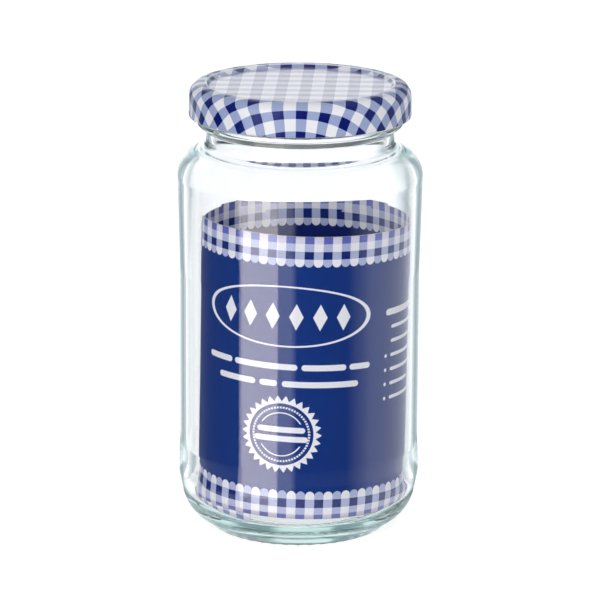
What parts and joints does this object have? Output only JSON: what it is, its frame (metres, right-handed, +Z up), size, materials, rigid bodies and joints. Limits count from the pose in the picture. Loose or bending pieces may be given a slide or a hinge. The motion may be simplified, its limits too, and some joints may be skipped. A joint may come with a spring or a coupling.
{
  "type": "preserving jar",
  "caption": "Clear glass twist-top preserving jar with a gingham tinplate lid and a rolled printed card insert standing inside it",
  "frame": {"origin": "centre of the base, on the table the jar stands on", "axes": "+Z up along the jar's axis, -Y towards the viewer of the front of the card, +X to that viewer's right"},
  "size_m": [0.081, 0.081, 0.1506],
  "materials": {
    "glass": "clear, very slightly green, polished",
    "lid": "blue and white gingham print under gloss lacquer",
    "seal": "soft cream sealing compound",
    "card": "coated card printed on both sides in navy, lilac and white"
  },
  "bodies": {
    "root": {"glass_jar": "glass", "twist_lid": "lid", "lid_seal": "seal", "card_insert": "card"}
  },
  "joints": []
}
